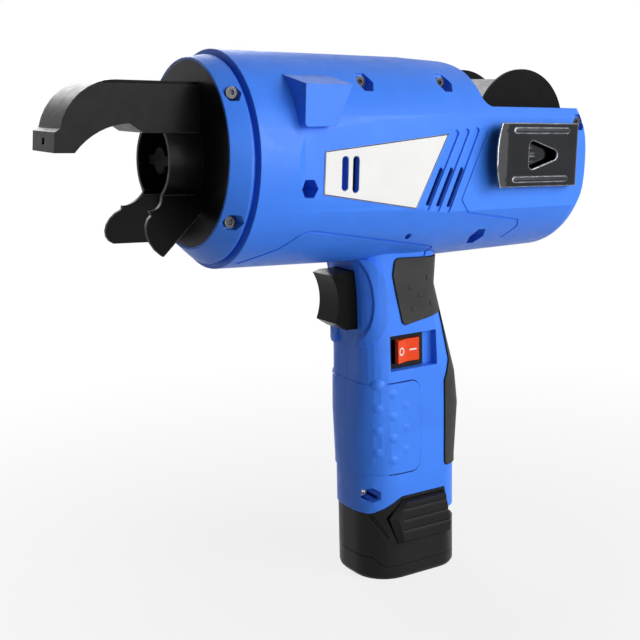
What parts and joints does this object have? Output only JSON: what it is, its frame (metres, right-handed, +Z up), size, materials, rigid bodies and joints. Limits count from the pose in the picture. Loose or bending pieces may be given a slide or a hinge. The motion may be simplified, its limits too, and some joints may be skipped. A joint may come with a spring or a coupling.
{
  "type": "rebar tying tool",
  "caption": "Hand-held cordless rebar tying tool with a clam-shell housing, curl arm, wire spool, twist drive, rocker switch, trigger, belt clip and stick battery.",
  "frame": {"origin": "middle of the battery's flat base", "axes": "+X forwards to the nose, +Y to the tool's left, +Z up out of the base"},
  "size_m": [0.2757, 0.1029, 0.2696],
  "materials": {
    "shell_blue": "fine-grained moulded, satin",
    "black_plastic": "moulded, satin",
    "black_metal": "black oxide over cast steel, satin",
    "label_film": "bare white film with a thin dark edge",
    "grip_rubber": "soft overmould, matt",
    "rocker_red": "glossy",
    "clip_chrome": "bright nickel plate",
    "screw_steel": "dark zinc",
    "gear_steel": "machined",
    "wire_steel": "bright annealed wire",
    "spring_steel": "drawn wire",
    "motor_can": "plated can",
    "frame_alloy": "sheet",
    "brass": "turned",
    "board_green": "solder mask",
    "cell_wrap": "shrink wrap",
    "terminal_plastic": "moulded"
  },
  "bodies": {
    "housing": {"left_shell": "shell_blue", "right_shell": "shell_blue", "nose_plate": "black_metal", "curl_arm": "black_metal", "wire_funnel": "black_metal", "label_plate": "label_film", "left_grip_pad": "grip_rubber", "right_grip_pad": "grip_rubber", "trigger_spring": "spring_steel", "trigger_switch": "black_plastic", "rocker_case": "black_plastic", "belt_clip": "clip_chrome", "clip_screw": "clip_chrome", "shell_screws": "screw_steel", "nose_screws": "screw_steel", "spool_axle": "gear_steel", "twist_motor": "motor_can", "ring_gear": "gear_steel", "nose_bearing": "gear_steel", "feed_motor": "motor_can", "feed_frame": "frame_alloy", "pressure_spring": "spring_steel", "guide_tube": "brass", "control_board": "board_green", "terminal_block": "terminal_plastic"},
    "spool": {"spool": "black_plastic", "wire_core": "wire_steel", "wire_winding": "wire_steel"},
    "feed_roller": {"feed_roller": "gear_steel"},
    "feed_pinion": {"feed_pinion": "brass"},
    "pressure_lever": {"pressure_lever": "gear_steel"},
    "pressure_roller": {"pressure_roller": "gear_steel"},
    "twist_head": {"planet_carrier": "gear_steel", "twist_hook": "black_metal"},
    "sun_gear": {"sun_gear": "gear_steel"},
    "planet_gear_1": {"planet_gear_1": "gear_steel"},
    "planet_gear_2": {"planet_gear_2": "gear_steel"},
    "planet_gear_3": {"planet_gear_3": "gear_steel"},
    "cutter": {"cutter": "gear_steel"},
    "trigger": {"trigger": "black_plastic"},
    "rocker": {"rocker": "rocker_red"},
    "battery": {"battery_case": "black_plastic", "battery_base": "black_plastic", "battery_cells": "cell_wrap", "battery_contacts": "brass", "latch_springs": "spring_steel"},
    "left_latch": {"left_latch": "black_plastic"},
    "right_latch": {"right_latch": "black_plastic"}
  },
  "joints": [
    {"name": "spool_spin", "type": "hinge", "parent": "housing", "child": "spool", "pos_m": [-0.06355, 0, 0.22867], "axis": [0, 1, 0], "continuous": true},
    {"name": "feed_spin", "type": "hinge", "parent": "housing", "child": "feed_roller", "pos_m": [0.01548, -0.0094, 0.24307], "axis": [-0.0541, 0, 0.9985], "continuous": true},
    {"name": "feed_pinion_spin", "type": "hinge", "parent": "housing", "child": "feed_pinion", "pos_m": [-0.00326, -0.0094, 0.23404], "axis": [-0.0541, 0, 0.9985], "continuous": true},
    {"name": "pressure_lever_swing", "type": "hinge", "parent": "housing", "child": "pressure_lever", "pos_m": [0.02924, 0.01997, 0.24682], "axis": [-0.0541, 0, 0.9985], "range_deg": [-6, 0], "stiffness_Nm_per_rad": 0.3, "springref_deg": 5.73, "deforming": ["pressure_spring"]},
    {"name": "pressure_roll", "type": "hinge", "parent": "pressure_lever", "child": "pressure_roller", "pos_m": [0.01548, 0.00745, 0.24307], "axis": [-0.0541, 0, 0.9985], "continuous": true},
    {"name": "twist_spin", "type": "hinge", "parent": "housing", "child": "twist_head", "pos_m": [0.0849, 0, 0.21879], "axis": [0.9985, 0, 0.0541], "continuous": true},
    {"name": "sun_spin", "type": "hinge", "parent": "housing", "child": "sun_gear", "pos_m": [0.07192, 0, 0.21808], "axis": [0.9985, 0, 0.0541], "continuous": true},
    {"name": "planet_1_spin", "type": "hinge", "parent": "twist_head", "child": "planet_gear_1", "pos_m": [0.07192, 0.012, 0.21808], "axis": [0.9985, 0, 0.0541], "continuous": true},
    {"name": "planet_2_spin", "type": "hinge", "parent": "twist_head", "child": "planet_gear_2", "pos_m": [0.07136, -0.006, 0.22846], "axis": [0.9985, 0, 0.0541], "continuous": true},
    {"name": "planet_3_spin", "type": "hinge", "parent": "twist_head", "child": "planet_gear_3", "pos_m": [0.07248, -0.006, 0.20771], "axis": [0.9985, 0, 0.0541], "continuous": true},
    {"name": "cutter_swing", "type": "hinge", "parent": "housing", "child": "cutter", "pos_m": [0.10252, 0.014, 0.24479], "axis": [0.9985, 0, 0.0541], "range_deg": [0, 20], "stiffness_Nm_per_rad": 0.05, "springref_deg": -11.46},
    {"name": "trigger_pull", "type": "slide", "parent": "housing", "child": "trigger", "axis": [-1, 0, 0], "range_m": [0, 0.005], "stiffness_N_per_m": 500, "springref_m": -0.004, "deforming": ["trigger_spring"]},
    {"name": "rocker_tip", "type": "hinge", "parent": "housing", "child": "rocker", "pos_m": [0.00501, 0.0158, 0.1197], "axis": [0, 0, 1], "range_deg": [-18, 0]},
    {"name": "battery_slide", "type": "slide", "parent": "housing", "child": "battery", "axis": [0, 0, -1], "range_m": [0, 0.075]},
    {"name": "left_latch_press", "type": "slide", "parent": "battery", "child": "left_latch", "axis": [0, -1, 0], "range_m": [0, 0.0022], "stiffness_N_per_m": 900, "springref_m": -0.002, "deforming": ["latch_springs"]},
    {"name": "right_latch_press", "type": "slide", "parent": "battery", "child": "right_latch", "axis": [0, 1, 0], "range_m": [0, 0.0022], "stiffness_N_per_m": 900, "springref_m": -0.002, "deforming": ["latch_springs"]}
  ],
  "couplings": [
    {"joint": "feed_spin", "follows": "spool_spin", "ratio": -2.3993},
    {"joint": "feed_pinion_spin", "follows": "spool_spin", "ratio": 7.1979},
    {"joint": "pressure_roll", "follows": "spool_spin", "ratio": 3.0848},
    {"joint": "sun_spin", "follows": "twist_spin", "ratio": 5},
    {"joint": "planet_1_spin", "follows": "twist_spin", "ratio": -2.6667},
    {"joint": "planet_2_spin", "follows": "twist_spin", "ratio": -2.6667},
    {"joint": "planet_3_spin", "follows": "twist_spin", "ratio": -2.6667}
  ]
}
